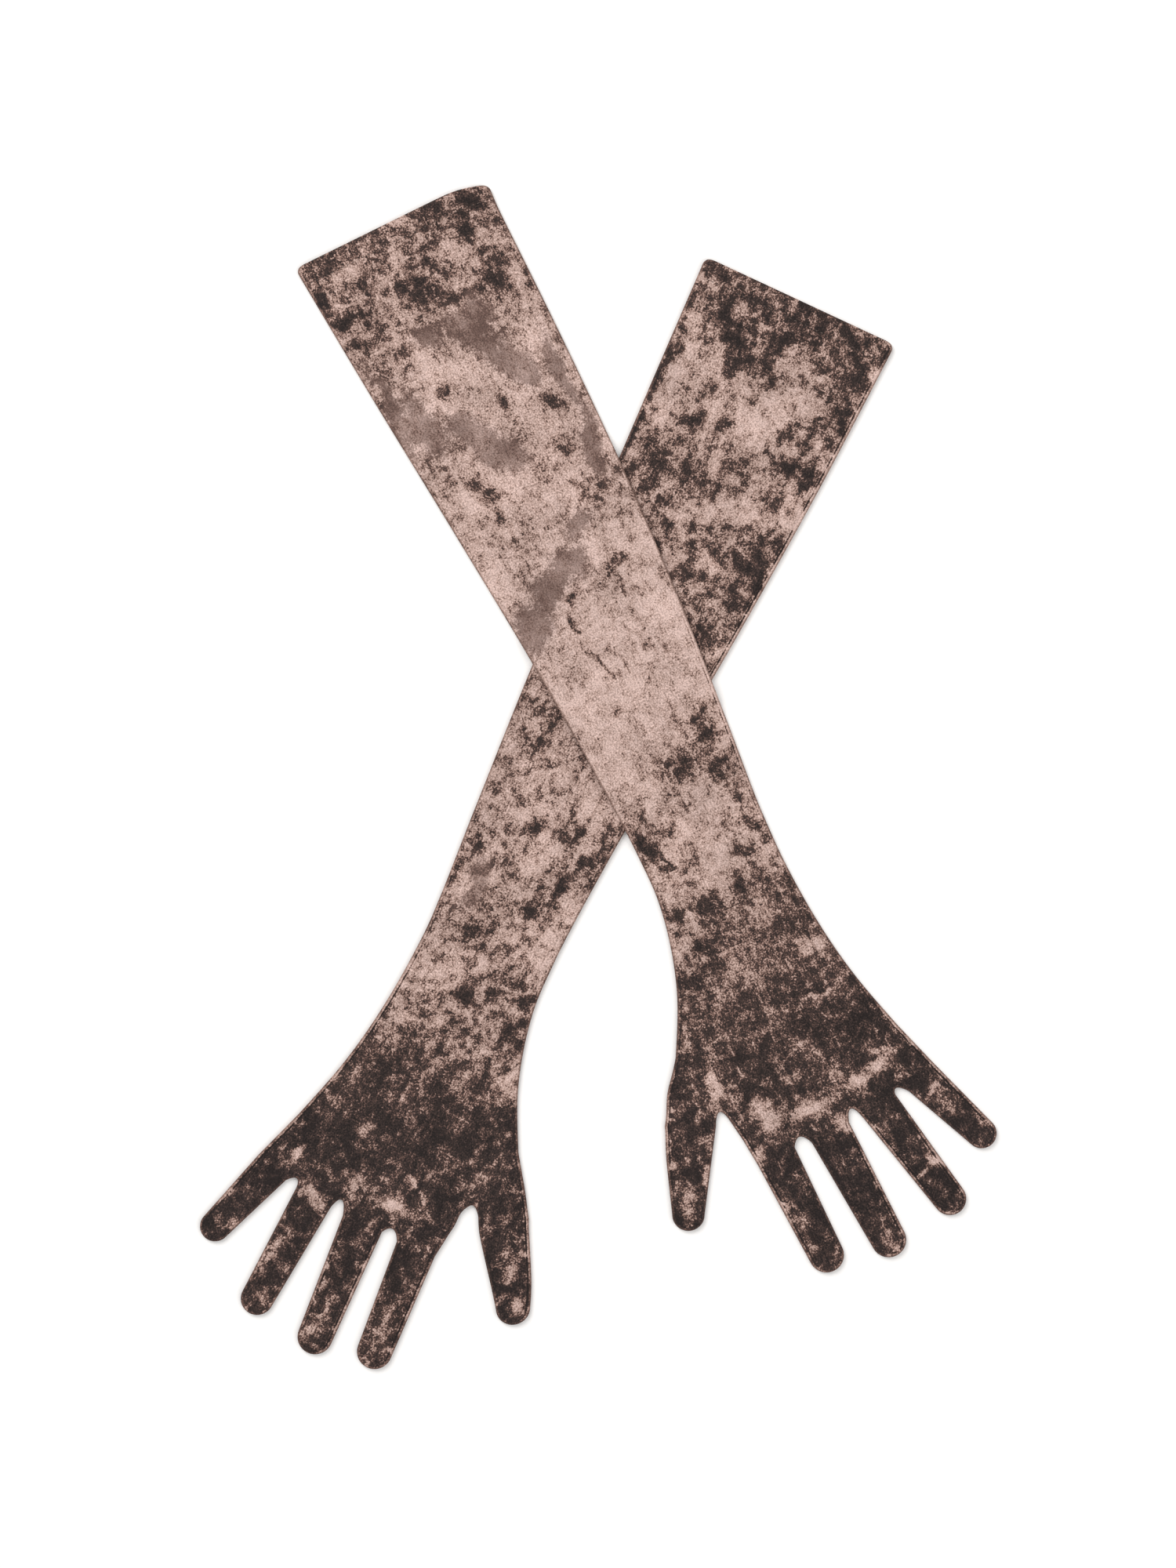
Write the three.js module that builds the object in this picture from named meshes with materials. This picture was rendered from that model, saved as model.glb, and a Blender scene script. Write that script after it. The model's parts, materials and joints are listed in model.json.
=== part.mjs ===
// A pair of opera gloves in stretch velvet, lying flat with one glove crossed over the other.
//
// Each glove is cut as two flat panels, a palm panel and a back panel, sewn together all the way
// round. Inside lie the overlocked seam allowances and the turned-in hem of the cuff. The panels are
// divided where the cloth folds: at the wrist and at the root of every finger.
//
// Millimetres, +Z up. The gloves lie palm side up on z = 0, cuffs towards +Y and fingers towards -Y.

import * as THREE from 'three';

// ---- cloth ---------------------------------------------------------------------------------------

const PANEL = 1.0;            // thickness of one velvet panel
const CLEAR = 0.3;            // room left between touching layers
const HEM_LAYER = 0.4;        // thickness of each turned-in hem layer
const INSIDE = 2 * HEM_LAYER + 3 * CLEAR;
const THICKNESS = 2 * PANEL + INSIDE;
const PALM_BASE = PANEL + INSIDE;
const HEM_DEPTH = 10.5;       // how far the cuff is turned in
const HEM_THREAD = 0.8;       // width of the row of hem stitches
const SEAM_INSET = 1.5;       // from the glove's edge to its seam allowance
const SEAM_WIDTH = 5;         // width of the overlocked seam allowance
const FOLD_GAP = CLEAR / 2;   // each side of a fold line keeps half of the gap

// ---- pattern -------------------------------------------------------------------------------------
// u runs from the cuff edge to the fingertips, v across the glove, with the thumb on the -v side.

const NARROWEST = 362;        // the sleeve is narrowest here, a little above the wrist
const WRIST = 412;            // the wrist's fold line
const STATIONS = [            // u, thumb-side edge, little-finger-side edge
  [0, -55.4, 53.8],
  [80, -50.4, 52.8],
  [160, -44.0, 50.8],
  [240, -37.2, 47.0],
  [310, -32.4, 42.2],
  [NARROWEST, -30.4, 38.2],
  [395, -32.4, 37.8],
  [430, -41.8, 40.4],
  [462, -57.4, 45.8],
  [495, -76.0, 54.8],
];
const THUMB_EDGE_END = 462;   // the thumb leaves the hand's edge after this station
const CUFF_CORNER = 4;        // the cuff's corners are rounded this much

const FINGERS = {             // root: middle of the fold line; angle: from the glove's own axis
  thumb: { root: [497.5, -66.2], angle: -28, length: 54.6, rootWidth: 28, tipWidth: 17 },
  index: { root: [531, -31.5], angle: -1.2, length: 67, rootWidth: 21.4, tipWidth: 18.4 },
  middle: { root: [531.5, -0.6], angle: 0, length: 73.2, rootWidth: 22.2, tipWidth: 18.4 },
  ring: { root: [530, 28.4], angle: 7.6, length: 69.5, rootWidth: 20.8, tipWidth: 17.2 },
  little: { root: [525.6, 54.7], angle: 20, length: 51, rootWidth: 19.6, tipWidth: 15.8 },
};
const FINGER_NAMES = Object.keys(FINGERS);
const CROTCHES = [            // lowest point between one finger and the next
  [497.4, -48.6],
  [526.9, -16.1],
  [524.9, 14.5],
  [525.2, 40.8],
];
const THUMB_WEB = [[504, -45.6], [516, -43.7]];  // edge from the thumb's crotch to the index finger

// ---- how each glove lies -------------------------------------------------------------------------

const GLOVES = {
  left: {                     // underneath, cuff to the right, mirror image of the right glove
    mirror: -1,
    cuff: [106.2, 248.9],
    turn: -25,
    stretch: 2.9,             // the sleeve is pulled this much longer than the pattern
    bow: -2,                  // and lies in a shallow curve
    swing: 1.15,              // the hand is turned against the sleeve
    fan: { thumb: -3, index: -3, middle: -3.4, ring: -4.6, little: -2 },
    over: null,
  },
  right: {                    // on top, cuff to the left
    mirror: 1,
    cuff: [-107.7, 289.8],
    turn: 26.25,
    stretch: -2.6,
    bow: 2,
    swing: -1.15,
    fan: { thumb: 2.4, index: 3, middle: 3.4, ring: 4.6, little: 2 },
    over: 'left',
  },
};
const SWING_RUN = 30;         // length over which the hand turns, from the narrowest place
const RISE = THICKNESS + 0.6; // how high the upper sleeve lies where it crosses the lower one
const RISE_MARGIN = 5;        // full height is kept this far outside the lower glove's edge
const RISE_RUN = 10;          // and the sleeve comes down to the table over this length

const RISING_GRID = { step: 8, cells: 8 };  // grid of the sleeve that rises, along and across
const FLAT_GRID = { step: 24, cells: 1 };   // grid of the sleeve that lies flat
const SEAM_STEP = 12;         // grid of the hand's seam allowances, along

// ---- velvet and thread ---------------------------------------------------------------------------

const velvet = () => new THREE.MeshStandardMaterial({ color: 0x836f68, roughness: 0.8, metalness: 0 });
const knitBacking = () => new THREE.MeshStandardMaterial({ color: 0x4d403c, roughness: 0.9, metalness: 0 });
const sewingThread = () => new THREE.MeshStandardMaterial({ color: 0x9c857b, roughness: 0.6, metalness: 0 });

// ---- pattern geometry ----------------------------------------------------------------------------

const radians = THREE.MathUtils.degToRad;
const lerp = THREE.MathUtils.lerp;
const smooth = (x, low, high) => THREE.MathUtils.smoothstep(x, low, high);

const thumbEdge = new THREE.SplineCurve(STATIONS.map(([u, v]) => new THREE.Vector2(u, v)));
const littleEdge = new THREE.SplineCurve(STATIONS.map(([u, , v]) => new THREE.Vector2(u, v)));

// Both edges share their stations, so one parameter gives the same u on each.
function parameterAt(u) {
  const last = STATIONS.length - 1;
  const span = Math.max(1, STATIONS.findIndex(([stop]) => stop >= u));
  let low = (span - 1) / last;
  let high = span / last;
  for (let i = 0; i < 40; i += 1) {
    const middle = (low + high) / 2;
    if (thumbEdge.getPoint(middle).x < u) low = middle;
    else high = middle;
  }
  return (low + high) / 2;
}

function edgesAt(u) {
  const t = parameterAt(u);
  return [thumbEdge.getPoint(t).y, littleEdge.getPoint(t).y];
}

function bowAt(glove, u) {
  return u < NARROWEST ? glove.bow * Math.sin(Math.PI * u / NARROWEST) : 0;
}

// From pattern to table: bow and stretch the sleeve, swing the hand, then turn the whole glove.
function layPoint(glove, u, v) {
  const beyond = u - NARROWEST;
  const angle = radians(glove.swing) * smooth(beyond, 0, SWING_RUN);
  const point = new THREE.Vector2(beyond, v + bowAt(glove, u)).rotateAround(new THREE.Vector2(), angle);
  const along = point.x + NARROWEST + glove.stretch * Math.min(u / NARROWEST, 1);
  const turn = radians(glove.turn);
  const x = along * Math.sin(turn) + glove.mirror * point.y * Math.cos(turn);
  const y = -along * Math.cos(turn) + glove.mirror * point.y * Math.sin(turn);
  return new THREE.Vector2(glove.cuff[0] + x, glove.cuff[1] + y);
}

// How far a point of the table lies outside a sleeve, less than zero under it.
function outsideSleeve(glove, x, y) {
  const turn = radians(glove.turn);
  const dx = x - glove.cuff[0];
  const dy = y - glove.cuff[1];
  const along = dx * Math.sin(turn) - dy * Math.cos(turn);
  const u = THREE.MathUtils.clamp(along / (1 + glove.stretch / NARROWEST), 0, NARROWEST);
  const v = glove.mirror * (dx * Math.cos(turn) + dy * Math.sin(turn)) - bowAt(glove, u);
  const [thumbSide, littleSide] = edgesAt(u);
  return Math.max(thumbSide - v, v - littleSide);
}

function riseAt(glove, x, y) {
  if (!glove.over) return 0;
  const outside = outsideSleeve(GLOVES[glove.over], x, y);
  return RISE * (1 - smooth(outside, RISE_MARGIN, RISE_MARGIN + RISE_RUN));
}

// ---- fingers -------------------------------------------------------------------------------------

// A finger's own frame on the pattern: its root, its direction and the direction across it.
function fingerFrame(glove, name) {
  const { root, angle } = FINGERS[name];
  const direction = radians(angle + glove.fan[name]);
  const forward = new THREE.Vector2(Math.cos(direction), Math.sin(direction));
  const across = new THREE.Vector2(-forward.y, forward.x);
  return { root: new THREE.Vector2(...root), forward, across };
}

// A point of the finger: `along` from the fold line, `side` across from the middle.
function fingerPoint(frame, along, side) {
  return frame.root.clone().addScaledVector(frame.forward, along).addScaledVector(frame.across, side);
}

function rootCorners(glove, name) {
  const frame = fingerFrame(glove, name);
  const half = FINGERS[name].rootWidth / 2;
  return [fingerPoint(frame, -FOLD_GAP, -half), fingerPoint(frame, -FOLD_GAP, half)];
}

function fingerOutline(glove, name) {
  const { length, rootWidth, tipWidth } = FINGERS[name];
  const frame = fingerFrame(glove, name);
  const radius = tipWidth / 2;
  const points = [fingerPoint(frame, FOLD_GAP, -rootWidth / 2)];
  const capSteps = 12;
  for (let i = 0; i <= capSteps; i += 1) {
    const angle = Math.PI * i / capSteps;
    const along = length - radius + radius * Math.sin(angle);
    points.push(fingerPoint(frame, along, -radius * Math.cos(angle)));
  }
  points.push(fingerPoint(frame, FOLD_GAP, rootWidth / 2));
  return points;
}

// ---- hand ----------------------------------------------------------------------------------------

// A round crotch from one finger's corner to the next, through its lowest point.
function crotchArc(from, lowest, to) {
  const handle = lowest.clone().multiplyScalar(2).sub(from.clone().add(to).multiplyScalar(0.5));
  return new THREE.QuadraticBezierCurve(from, handle, to).getPoints(6).slice(1, -1);
}

function handEdge(side, from, to, steps) {
  const points = [];
  for (let i = 0; i <= steps; i += 1) {
    const u = lerp(from, to, i / steps);
    points.push(new THREE.Vector2(u, edgesAt(u)[side]));
  }
  return points;
}

function handOutline(glove) {
  const points = handEdge(0, WRIST + FOLD_GAP, THUMB_EDGE_END, 10);
  const web = THUMB_WEB.map((point) => new THREE.Vector2(...point));
  FINGER_NAMES.forEach((name, i) => {
    const [near, far] = rootCorners(glove, name);
    points.push(near, far);
    if (name === 'little') return;
    const next = name === 'thumb' ? web[0] : rootCorners(glove, FINGER_NAMES[i + 1])[0];
    points.push(...crotchArc(far, new THREE.Vector2(...CROTCHES[i]), next));
    if (name === 'thumb') points.push(...web);
  });
  points.push(...handEdge(1, WRIST + FOLD_GAP, STATIONS.at(-1)[0], 12).reverse());
  return points;
}

// ---- solids --------------------------------------------------------------------------------------

function mesh(name, geometry, material) {
  const part = new THREE.Mesh(geometry, material);
  part.name = name;
  return part;
}

// A flat panel from an outline on the pattern, laid on the table between two heights.
function flatPanel(glove, outline, low, thickness) {
  const shape = new THREE.Shape(outline.map((point) => layPoint(glove, point.x, point.y)));
  const geometry = new THREE.ExtrudeGeometry(shape, { depth: thickness, bevelEnabled: false });
  return geometry.translate(0, 0, low);
}

// A panel with a grid, which follows the rise of the upper sleeve. `columns` are functions that give
// v from the two edges at u, and `rows` are the values of u.
function risingPanel(glove, rows, columns, low, thickness) {
  const geometry = new THREE.BoxGeometry(1, 1, 1, columns.length - 1, rows.length - 1, 1);
  const position = geometry.attributes.position;
  for (let i = 0; i < position.count; i += 1) {
    const column = Math.round((position.getX(i) + 0.5) * (columns.length - 1));
    const row = Math.round((0.5 - position.getY(i)) * (rows.length - 1));
    const u = rows[row];
    const v = columns[column](...edgesAt(u), u);
    const point = layPoint(glove, u, v);
    const height = low + (position.getZ(i) + 0.5) * thickness;
    position.setXYZ(i, point.x, point.y, height + riseAt(glove, point.x, point.y));
  }
  matchDiagonals(geometry);
  return glove.mirror < 0 ? flipped(geometry) : geometry;
}

// The underside of a box splits its squares the other way from the top. Split alike, stacked layers
// keep the same distance everywhere.
function matchDiagonals(geometry) {
  const index = geometry.index;
  const underside = geometry.groups[5];
  for (let i = underside.start; i < underside.start + underside.count; i += 6) {
    const [a, b, c, d] = [0, 1, 4, 2].map((corner) => index.getX(i + corner));
    [a, b, c, a, c, d].forEach((corner, k) => index.setX(i + k, corner));
  }
}

// A mirrored grid is inside out, so its triangles are turned round.
function flipped(geometry) {
  const index = geometry.index;
  for (let i = 0; i < index.count; i += 3) {
    const first = index.getX(i);
    index.setX(i, index.getX(i + 2));
    index.setX(i + 2, first);
  }
  return geometry;
}

function evenSteps(from, to, step) {
  const count = Math.ceil((to - from) / step);
  return Array.from({ length: count + 1 }, (_, i) => lerp(from, to, i / count));
}

// ---- sleeve --------------------------------------------------------------------------------------

const CUFF_ROWS = [0, 1, 2.5, CUFF_CORNER];
const sleeveRows = (grid) => [...CUFF_ROWS, ...evenSteps(HEM_DEPTH + 1, WRIST - FOLD_GAP, grid.step)];

// The cuff's corners are rounded: the edges draw in over the last few millimetres.
function cuffCorner(u) {
  const left = Math.max(0, 1 - u / CUFF_CORNER);
  return CUFF_CORNER * (1 - Math.sqrt(1 - left * left));
}

const inFromThumb = (distance) => (thumbSide, littleSide, u) => thumbSide + distance + cuffCorner(u);
const inFromLittle = (distance) => (thumbSide, littleSide, u) => littleSide - distance - cuffCorner(u);
const between = (share) => (thumbSide, littleSide, u) => {
  const inset = SEAM_INSET + SEAM_WIDTH + cuffCorner(u);
  return lerp(thumbSide + inset, littleSide - inset, share);
};

const SEAM_THUMB = [inFromThumb(SEAM_INSET), inFromThumb(SEAM_INSET + SEAM_WIDTH)];
const SEAM_LITTLE = [inFromLittle(SEAM_INSET + SEAM_WIDTH), inFromLittle(SEAM_INSET)];

function sleeveColumns(grid) {
  const middle = Array.from({ length: grid.cells - 1 }, (_, i) => between((i + 1) / grid.cells));
  return [inFromThumb(0), ...SEAM_THUMB, ...middle, ...SEAM_LITTLE, inFromLittle(0)];
}

function sleeve(side, glove) {
  const grid = glove.over ? RISING_GRID : FLAT_GRID;
  const rows = sleeveRows(grid);
  const columns = sleeveColumns(grid);
  const seamRows = rows.filter((u) => u > HEM_DEPTH);
  const seamHeight = INSIDE - 2 * CLEAR;
  const hemRows = [2.5, HEM_DEPTH];
  const hemColumns = [between(0), between(1)];
  const threadRows = [HEM_DEPTH - HEM_THREAD, HEM_DEPTH];
  const threadColumns = [inFromThumb(2), inFromLittle(2)];
  const panel = (low) => risingPanel(glove, rows, columns, low, PANEL);
  const seam = (sides) => risingPanel(glove, seamRows, sides, PANEL + CLEAR, seamHeight);
  const hem = (low) => risingPanel(glove, hemRows, hemColumns, low, HEM_LAYER);
  const thread = risingPanel(glove, threadRows, threadColumns, THICKNESS + CLEAR, CLEAR);
  return [
    mesh(`${side}_sleeve_palm_panel`, panel(PALM_BASE), velvet()),
    mesh(`${side}_sleeve_back_panel`, panel(0), velvet()),
    mesh(`${side}_cuff_hem_palm`, hem(PANEL + 2 * CLEAR + HEM_LAYER), velvet()),
    mesh(`${side}_cuff_hem_back`, hem(PANEL + CLEAR), velvet()),
    mesh(`${side}_cuff_hem_thread`, thread, sewingThread()),
    mesh(`${side}_sleeve_seam_thumb_side`, seam(SEAM_THUMB), knitBacking()),
    mesh(`${side}_sleeve_seam_little_side`, seam(SEAM_LITTLE), knitBacking()),
  ];
}

// ---- hand and fingers ----------------------------------------------------------------------------

function palmAndBack(side, name, glove, outline) {
  return [
    mesh(`${side}_${name}_palm_panel`, flatPanel(glove, outline, PALM_BASE, PANEL), velvet()),
    mesh(`${side}_${name}_back_panel`, flatPanel(glove, outline, 0, PANEL), velvet()),
  ];
}

function handSeam(side, name, glove, rows, columns) {
  const geometry = risingPanel(glove, rows, columns, PANEL + CLEAR, INSIDE - 2 * CLEAR);
  return mesh(`${side}_hand_seam_${name}`, geometry, knitBacking());
}

function hand(side, glove) {
  const thumbRows = evenSteps(WRIST + 1, THUMB_EDGE_END, SEAM_STEP);
  const littleRows = evenSteps(WRIST + 1, STATIONS.at(-1)[0], SEAM_STEP);
  return [
    ...palmAndBack(side, 'hand', glove, handOutline(glove)),
    handSeam(side, 'thumb_side', glove, thumbRows, SEAM_THUMB),
    handSeam(side, 'little_side', glove, littleRows, SEAM_LITTLE),
  ];
}

function finger(side, name, glove) {
  return palmAndBack(side, name, glove, fingerOutline(glove, name));
}

// ---- the pair ------------------------------------------------------------------------------------

const group = new THREE.Group();
Object.entries(GLOVES).forEach(([side, glove]) => {
  group.add(...sleeve(side, glove), ...hand(side, glove));
  FINGER_NAMES.forEach((name) => group.add(...finger(side, name, glove)));
});

// The origin is the middle of the pair's outline, on the table.
const extent = new THREE.Box3().setFromObject(group);
const middle = extent.getCenter(new THREE.Vector3());
group.position.set(-middle.x, -middle.y, 0);

export default group;
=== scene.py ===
# %% [markdown]
# # A pair of crushed-velvet opera gloves
#
# The gloves lie flat, palm side up, one crossed over the other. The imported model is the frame: it
# says where every body and joint is. This lesson sews a finer pair of gloves round it, in cloth that
# is cut flat from a pattern and then laid on the table.

# %% The frame
import json
import math

import bmesh
import bpy
import numpy as np
from mathutils import Matrix, Vector, noise


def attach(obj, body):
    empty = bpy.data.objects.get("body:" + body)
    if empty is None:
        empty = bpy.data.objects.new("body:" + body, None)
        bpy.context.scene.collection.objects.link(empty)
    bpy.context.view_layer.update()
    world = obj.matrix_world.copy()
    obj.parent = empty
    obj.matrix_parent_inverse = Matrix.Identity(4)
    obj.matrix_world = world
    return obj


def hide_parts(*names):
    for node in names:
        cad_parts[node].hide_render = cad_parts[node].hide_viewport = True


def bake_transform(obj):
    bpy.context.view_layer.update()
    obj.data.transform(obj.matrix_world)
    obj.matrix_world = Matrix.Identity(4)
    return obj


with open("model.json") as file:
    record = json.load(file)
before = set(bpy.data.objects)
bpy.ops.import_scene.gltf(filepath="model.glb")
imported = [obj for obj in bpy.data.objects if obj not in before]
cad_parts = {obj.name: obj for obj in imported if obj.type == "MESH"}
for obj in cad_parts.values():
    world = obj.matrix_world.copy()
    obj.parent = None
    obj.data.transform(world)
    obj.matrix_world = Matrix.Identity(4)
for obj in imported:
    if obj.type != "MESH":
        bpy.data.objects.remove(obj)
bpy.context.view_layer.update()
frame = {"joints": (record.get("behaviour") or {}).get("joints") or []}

MM = 0.001  # the pattern is drawn in millimetres, Blender works in metres
JOINTS = {joint["name"]: joint for joint in frame["joints"]}

# %% [markdown]
# ## Camera, table and light
#
# A flat lay is looked at from straight above with a long lens, so that nothing leans. An orthographic
# camera would do too, but a long lens works from every other side as well. The table is a plain pale
# sheet. Wide, soft lamps and a pale surround leave hardly any shadow, which is how cloth is lit when
# its pile matters more than its folds.

# %% Camera
scene = bpy.context.scene
scene.view_settings.view_transform = "Standard"
VIEW_HEIGHT = 820.8 * MM
VIEW_CENTRE = (-5.4 * MM, -5.1 * MM)
LENS, FILM = 85, 36

camera_data = bpy.data.cameras.new("camera")
camera_data.lens = LENS
camera_data.sensor_width = FILM
camera = bpy.data.objects.new("camera", camera_data)
camera.location = (*VIEW_CENTRE, VIEW_HEIGHT * LENS / FILM)
scene.collection.objects.link(camera)
scene.camera = camera
print("camera height:", round(camera.location.z, 3), "m")


# %% Colours
def linear(code):
    """A '#rrggbb' colour as the linear RGBA that shaders work in."""
    channels = [int(code[i : i + 2], 16) / 255 for i in (1, 3, 5)]
    decoded = [c / 12.92 if c <= 0.04045 else ((c + 0.055) / 1.055) ** 2.4 for c in channels]
    return (*decoded, 1.0)


def add(tree, kind, inputs=None, output=0, **settings):
    """Adds one node and gives back its output. An input is given a value, or a socket to link to."""
    made = tree.nodes.new(kind)
    for name, value in settings.items():
        setattr(made, name, value)
    for name, value in (inputs or {}).items():
        if isinstance(value, bpy.types.NodeSocket):
            tree.links.new(value, made.inputs[name])
        else:
            made.inputs[name].default_value = value
    return made.outputs[output]


def new_material(name):
    """An empty material with its Principled shader."""
    material = bpy.data.materials.new(name)
    material.use_nodes = True
    tree = material.node_tree
    return material, tree, tree.nodes["Principled BSDF"]


# %% Table
TABLE_SIZE = 8

table_paint, tree, shader = new_material("matt_white_table")
shader.inputs["Base Color"].default_value = linear("#f4f2f0")
shader.inputs["Roughness"].default_value = 0.9
bm = bmesh.new()
bmesh.ops.create_grid(bm, x_segments=1, y_segments=1, size=TABLE_SIZE / 2)
table_mesh = bpy.data.meshes.new("table")
bm.to_mesh(table_mesh)
bm.free()
table_mesh.materials.append(table_paint)
table = bpy.data.objects.new("table", table_mesh)
scene.collection.objects.link(table)

# %% Lamps
LAMPS = {  # place in metres, width, watts
    "window": ((-1.3, 1.5, 2.0), 1.6, 52),
    "fill": ((1.7, -1.1, 2.2), 2.2, 30),
}
for name, (place, width, watts) in LAMPS.items():
    lamp = bpy.data.lights.new(name, "AREA")
    lamp.size = width
    lamp.energy = watts
    lamp_object = bpy.data.objects.new(name, lamp)
    lamp_object.location = place
    lamp_object.rotation_euler = (-Vector(place)).to_track_quat("-Z", "Y").to_euler()
    scene.collection.objects.link(lamp_object)

surround = bpy.data.worlds.new("surround")
surround.use_nodes = True
surround.node_tree.nodes["Background"].inputs["Color"].default_value = linear("#ffffff")
surround.node_tree.nodes["Background"].inputs["Strength"].default_value = 0.62
scene.world = surround
print("lamps:", list(LAMPS))

# %% [markdown]
# ## The pattern
#
# A glove like this is two flat panels sewn round the edge. On the pattern, u runs from the cuff to
# the fingertips and v across, with the thumb on the minus side. The long edges are drawn through a
# few stations with a smooth curve; each finger is a straight taper with a half-round tip. It could
# all be drawn as one curve object, but with measures and functions every later step can ask where
# an edge is. The measures are the ones that the frame was drawn from.

# %% Long edges
NARROWEST, WRIST = 362, 412
STATIONS = [  # u, thumb-side edge, little-finger-side edge
    (0, -55.4, 53.8),
    (80, -50.4, 52.8),
    (160, -44.0, 50.8),
    (240, -37.2, 47.0),
    (310, -32.4, 42.2),
    (NARROWEST, -30.4, 38.2),
    (395, -32.4, 37.8),
    (430, -41.8, 40.4),
    (462, -57.4, 45.8),
    (495, -76.0, 54.8),
]
THUMB_EDGE_END = 462
LITTLE_EDGE_END = STATIONS[-1][0]
CUFF_CORNER = 4


def smooth_curve(points, steps=24):
    """A Catmull-Rom curve through the points."""
    p = np.array([points[0], *points, points[-1]], float)
    t = np.linspace(0, 1, steps, endpoint=False)[:, None]
    spans = [
        0.5 * (2 * b + (c - a) * t + (2 * a - 5 * b + 4 * c - d) * t**2 + (3 * b - a - 3 * c + d) * t**3)
        for a, b, c, d in zip(p, p[1:], p[2:], p[3:])
    ]
    return np.vstack([*spans, p[-1:]])


EDGE_LINES = smooth_curve(STATIONS).T


def edges_at(u):
    """Thumb-side and little-finger-side edge at u. The cuff's corners are rounded."""
    missing = np.clip(1 - np.asarray(u) / CUFF_CORNER, 0, 1)
    drawn_in = CUFF_CORNER * (1 - np.sqrt(1 - missing**2))
    thumb = np.interp(u, EDGE_LINES[0], EDGE_LINES[1]) + drawn_in
    little = np.interp(u, EDGE_LINES[0], EDGE_LINES[2]) - drawn_in
    return thumb, little


print("cuff width:", STATIONS[0][2] - STATIONS[0][1], "mm")

# %% Fingers
FINGERS = {  # root: middle of the fold line; turn: away from the glove's own axis
    "thumb": {"root": (497.5, -66.2), "turn": -28, "length": 54.6, "width": 28, "tip": 17},
    "index": {"root": (531, -31.5), "turn": -1.2, "length": 67, "width": 21.4, "tip": 18.4},
    "middle": {"root": (531.5, -0.6), "turn": 0, "length": 73.2, "width": 22.2, "tip": 18.4},
    "ring": {"root": (530, 28.4), "turn": 7.6, "length": 69.5, "width": 20.8, "tip": 17.2},
    "little": {"root": (525.6, 54.7), "turn": 20, "length": 51, "width": 19.6, "tip": 15.8},
}
NAMES = list(FINGERS)
CROTCHES = [(497.4, -48.6), (526.9, -16.1), (524.9, 14.5), (525.2, 40.8)]
THUMB_WEB = [(504, -45.6), (516, -43.7)]

# %% How each glove lies
# The pair lies palm up. The left glove is underneath, the right one crosses over its sleeve. Where
# its cloth is pushed a little off its drawn place, a nudge says: u, v, push along, push across, reach.
GLOVES = {
    "left": {
        "mirror": -1,
        "cuff": (106.2, 248.9),
        "turn": -25,
        "stretch": 2.9,
        "bow": -2,
        "swing": 1.15,
        "fan": {"thumb": -3, "index": -3, "middle": -3.4, "ring": -4.6, "little": -2},
        "over": None,
        "seed": 0.0,
        "nudges": [
            (491, -79, 0.3, 0.7, 11),
            (524, -96, -0.8, -1.7, 20),
            (504, -45.5, -0.3, 1.3, 5),
            (503, -53, -0.3, -0.9, 5),
        ],
    },
    "right": {
        "mirror": 1,
        "cuff": (-107.7, 289.8),
        "turn": 26.25,
        "stretch": -2.6,
        "bow": 2,
        "swing": -1.15,
        "fan": {"thumb": 2.4, "index": 3, "middle": 3.4, "ring": 4.6, "little": 2},
        "over": "left",
        "seed": 7.3,
        "nudges": [(491, -79, 0.5, 1.1, 12), (476, -70, -0.3, -0.9, 9), (0, 56, 4.6, 0.8, 13)],
    },
}
SWING_RUN = 30  # the hand swings out over this much cloth past the narrowest part


def smoothstep(x, low, high):
    """0 below low, 1 above high, and a soft step between them."""
    t = np.clip((x - low) / (high - low), 0, 1)
    return t * t * (3 - 2 * t)


def bow_at(glove, u):
    """How far the sleeve bows sideways at u."""
    return np.where(u < NARROWEST, glove["bow"] * np.sin(np.pi * u / NARROWEST), 0)


def nudged(glove, u, v):
    """Pattern places after the small pushes."""
    pushed_u, pushed_v = u, v
    for at_u, at_v, along, across, reach in glove["nudges"]:
        near = np.exp(-((u - at_u) ** 2 + (v - at_v) ** 2) / reach**2)
        pushed_u = pushed_u + along * near
        pushed_v = pushed_v + across * near
    return pushed_u, pushed_v


def on_table(glove, u, v):
    """From pattern to table, in millimetres, before the pair is centred."""
    u, v = nudged(glove, np.asarray(u, float), np.asarray(v, float))
    angle = np.radians(glove["swing"]) * smoothstep(u - NARROWEST, 0, SWING_RUN)
    beyond, side = u - NARROWEST, v + bow_at(glove, u)
    along = beyond * np.cos(angle) - side * np.sin(angle) + NARROWEST
    along = along + glove["stretch"] * np.minimum(u / NARROWEST, 1)
    side = glove["mirror"] * (beyond * np.sin(angle) + side * np.cos(angle))
    turn = math.radians(glove["turn"])
    x = glove["cuff"][0] + along * math.sin(turn) + side * math.cos(turn)
    y = glove["cuff"][1] - along * math.cos(turn) + side * math.sin(turn)
    return x, y


# The index finger's fold line is on the pattern and in the frame, so it ties one to the other.
index_joint = Vector(JOINTS["left_index_fold"]["pos_m"]) / MM
index_root = on_table(GLOVES["left"], *FINGERS["index"]["root"])
CENTRING = np.array([index_joint.x - index_root[0], index_joint.y - index_root[1]])


def lay(glove, u, v):
    """From pattern to table, in millimetres of the frame."""
    x, y = on_table(glove, u, v)
    return x + CENTRING[0], y + CENTRING[1]


print("centring:", CENTRING.round(3), "mm")


# %% Finger outlines
def finger_axes(glove, name):
    """The finger's root, its direction, and the direction across it towards the little finger."""
    angle = math.radians(FINGERS[name]["turn"] + glove["fan"][name])
    forward = np.array([math.cos(angle), math.sin(angle)])
    return np.array(FINGERS[name]["root"], float), forward, np.array([-forward[1], forward[0]])


def root_corners(glove, name):
    root, _, across = finger_axes(glove, name)
    half = FINGERS[name]["width"] / 2
    return root - across * half, root + across * half


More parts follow.
